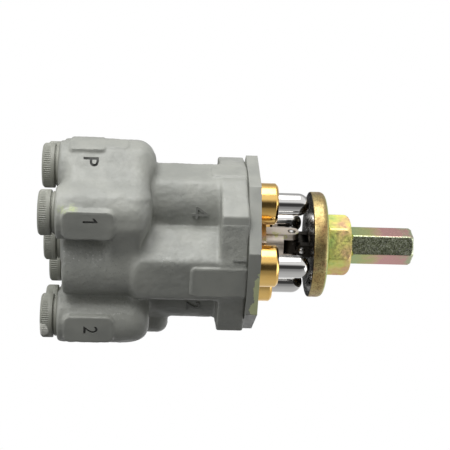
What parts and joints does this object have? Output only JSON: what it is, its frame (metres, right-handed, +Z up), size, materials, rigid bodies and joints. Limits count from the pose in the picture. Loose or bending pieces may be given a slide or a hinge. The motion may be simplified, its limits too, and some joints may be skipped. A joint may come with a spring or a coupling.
{
  "type": "pilot control valve",
  "caption": "Joystick pilot valve: ported casting, plate with guide plugs and push rods, and a universal joint with disc, nut and lever stem.",
  "frame": {"origin": "centre of the octagonal plate's top face, which is the mounting face", "axes": "+Z up along the lever stem; push rods 1, 2, 3 and 4 stand on the -Y, +X, +Y and -X sides"},
  "size_m": [0.0948, 0.0726, 0.1647],
  "materials": {
    "casting_paint": "grey paint, satin, over a sand-cast surface",
    "plate_paint": "grey paint over yellow zinc, chipped along one edge",
    "cap_plastic": "knurled plastic, painted grey with the casting",
    "plug_brass": "turned and polished, gold coloured",
    "rod_chrome": "ground and polished steel",
    "joint_steel": "nickel plated, darkened",
    "pin_steel": "ground steel pin",
    "disc_zinc": "yellow chromated zinc, shiny underside",
    "nut_zinc": "iridescent yellow zinc",
    "stem_zinc": "iridescent yellow and green zinc",
    "seal_rubber": "matt black",
    "inner_steel": "ground steel",
    "spring_steel": "drawn wire"
  },
  "bodies": {
    "housing": {"valve_body": "casting_paint", "top_plate": "plate_paint", "joint_base": "joint_steel", "guide_plug_1": "plug_brass", "guide_plug_2": "plug_brass", "guide_plug_3": "plug_brass", "guide_plug_4": "plug_brass", "plug_o_ring_1": "seal_rubber", "plug_o_ring_2": "seal_rubber", "plug_o_ring_3": "seal_rubber", "plug_o_ring_4": "seal_rubber", "rod_seal_1": "seal_rubber", "rod_seal_2": "seal_rubber", "rod_seal_3": "seal_rubber", "rod_seal_4": "seal_rubber", "centering_spring_1": "spring_steel", "centering_spring_2": "spring_steel", "centering_spring_3": "spring_steel", "centering_spring_4": "spring_steel", "port_cap_p": "cap_plastic", "port_cap_t": "cap_plastic", "port_cap_center": "cap_plastic", "port_cap_1": "cap_plastic", "port_cap_2": "cap_plastic", "port_cap_3": "cap_plastic", "port_cap_4": "cap_plastic"},
    "lower_pin_body": {"lower_pin": "pin_steel"},
    "cross_body": {"cross": "joint_steel"},
    "upper_pin_body": {"upper_pin": "pin_steel"},
    "lever_body": {"upper_yoke": "joint_steel", "disc": "disc_zinc", "adjusting_nut": "nut_zinc", "lever_stem": "stem_zinc"},
    "push_rod_body_1": {"push_rod_1": "rod_chrome", "spring_retainer_1": "inner_steel", "metering_spring_1": "spring_steel"},
    "spool_body_1": {"spool_1": "inner_steel"},
    "push_rod_body_2": {"push_rod_2": "rod_chrome", "spring_retainer_2": "inner_steel", "metering_spring_2": "spring_steel"},
    "spool_body_2": {"spool_2": "inner_steel"},
    "push_rod_body_3": {"push_rod_3": "rod_chrome", "spring_retainer_3": "inner_steel", "metering_spring_3": "spring_steel"},
    "spool_body_3": {"spool_3": "inner_steel"},
    "push_rod_body_4": {"push_rod_4": "rod_chrome", "spring_retainer_4": "inner_steel", "metering_spring_4": "spring_steel"},
    "spool_body_4": {"spool_4": "inner_steel"}
  },
  "joints": [
    {"name": "tilt_to_port_1", "type": "hinge", "parent": "housing", "child": "lower_pin_body", "pos_m": [0, 0, 0.0164], "axis": [1, 0, 0], "range_deg": [0, 19.2]},
    {"name": "tilt_to_port_3", "type": "hinge", "parent": "lower_pin_body", "child": "cross_body", "pos_m": [0, 0, 0.0164], "axis": [1, 0, 0], "range_deg": [-19.2, 0]},
    {"name": "tilt_to_port_2", "type": "hinge", "parent": "cross_body", "child": "upper_pin_body", "pos_m": [0, 0, 0.0209], "axis": [0, 1, 0], "range_deg": [0, 19.2]},
    {"name": "tilt_to_port_4", "type": "hinge", "parent": "upper_pin_body", "child": "lever_body", "pos_m": [0, 0, 0.0209], "axis": [0, 1, 0], "range_deg": [-19.2, 0]},
    {"name": "push_rod_slide_1", "type": "slide", "parent": "housing", "child": "push_rod_body_1", "axis": [0, 0, -1], "range_m": [0, 0.0066], "stiffness_N_per_m": 2500, "springref_m": -0.01, "deforming": ["centering_spring_1", "metering_spring_1"]},
    {"name": "spool_slide_1", "type": "slide", "parent": "housing", "child": "spool_body_1", "axis": [0, 0, -1], "range_m": [0, 0.0021]},
    {"name": "push_rod_slide_2", "type": "slide", "parent": "housing", "child": "push_rod_body_2", "axis": [0, 0, -1], "range_m": [0, 0.0066], "stiffness_N_per_m": 2500, "springref_m": -0.01, "deforming": ["centering_spring_2", "metering_spring_2"]},
    {"name": "spool_slide_2", "type": "slide", "parent": "housing", "child": "spool_body_2", "axis": [0, 0, -1], "range_m": [0, 0.0021]},
    {"name": "push_rod_slide_3", "type": "slide", "parent": "housing", "child": "push_rod_body_3", "axis": [0, 0, -1], "range_m": [0, 0.0066], "stiffness_N_per_m": 2500, "springref_m": -0.01, "deforming": ["centering_spring_3", "metering_spring_3"]},
    {"name": "spool_slide_3", "type": "slide", "parent": "housing", "child": "spool_body_3", "axis": [0, 0, -1], "range_m": [0, 0.0021]},
    {"name": "push_rod_slide_4", "type": "slide", "parent": "housing", "child": "push_rod_body_4", "axis": [0, 0, -1], "range_m": [0, 0.0066], "stiffness_N_per_m": 2500, "springref_m": -0.01, "deforming": ["centering_spring_4", "metering_spring_4"]},
    {"name": "spool_slide_4", "type": "slide", "parent": "housing", "child": "spool_body_4", "axis": [0, 0, -1], "range_m": [0, 0.0021]}
  ],
  "couplings": [
    {"joint": "tilt_to_port_1", "follows": "push_rod_slide_1", "rad_per_m": 50.251},
    {"joint": "spool_slide_1", "follows": "push_rod_slide_1", "ratio": 0.30151},
    {"joint": "tilt_to_port_2", "follows": "push_rod_slide_2", "rad_per_m": 50.251},
    {"joint": "spool_slide_2", "follows": "push_rod_slide_2", "ratio": 0.30151},
    {"joint": "tilt_to_port_3", "follows": "push_rod_slide_3", "rad_per_m": -50.251},
    {"joint": "spool_slide_3", "follows": "push_rod_slide_3", "ratio": 0.30151},
    {"joint": "tilt_to_port_4", "follows": "push_rod_slide_4", "rad_per_m": -50.251},
    {"joint": "spool_slide_4", "follows": "push_rod_slide_4", "ratio": 0.30151}
  ]
}
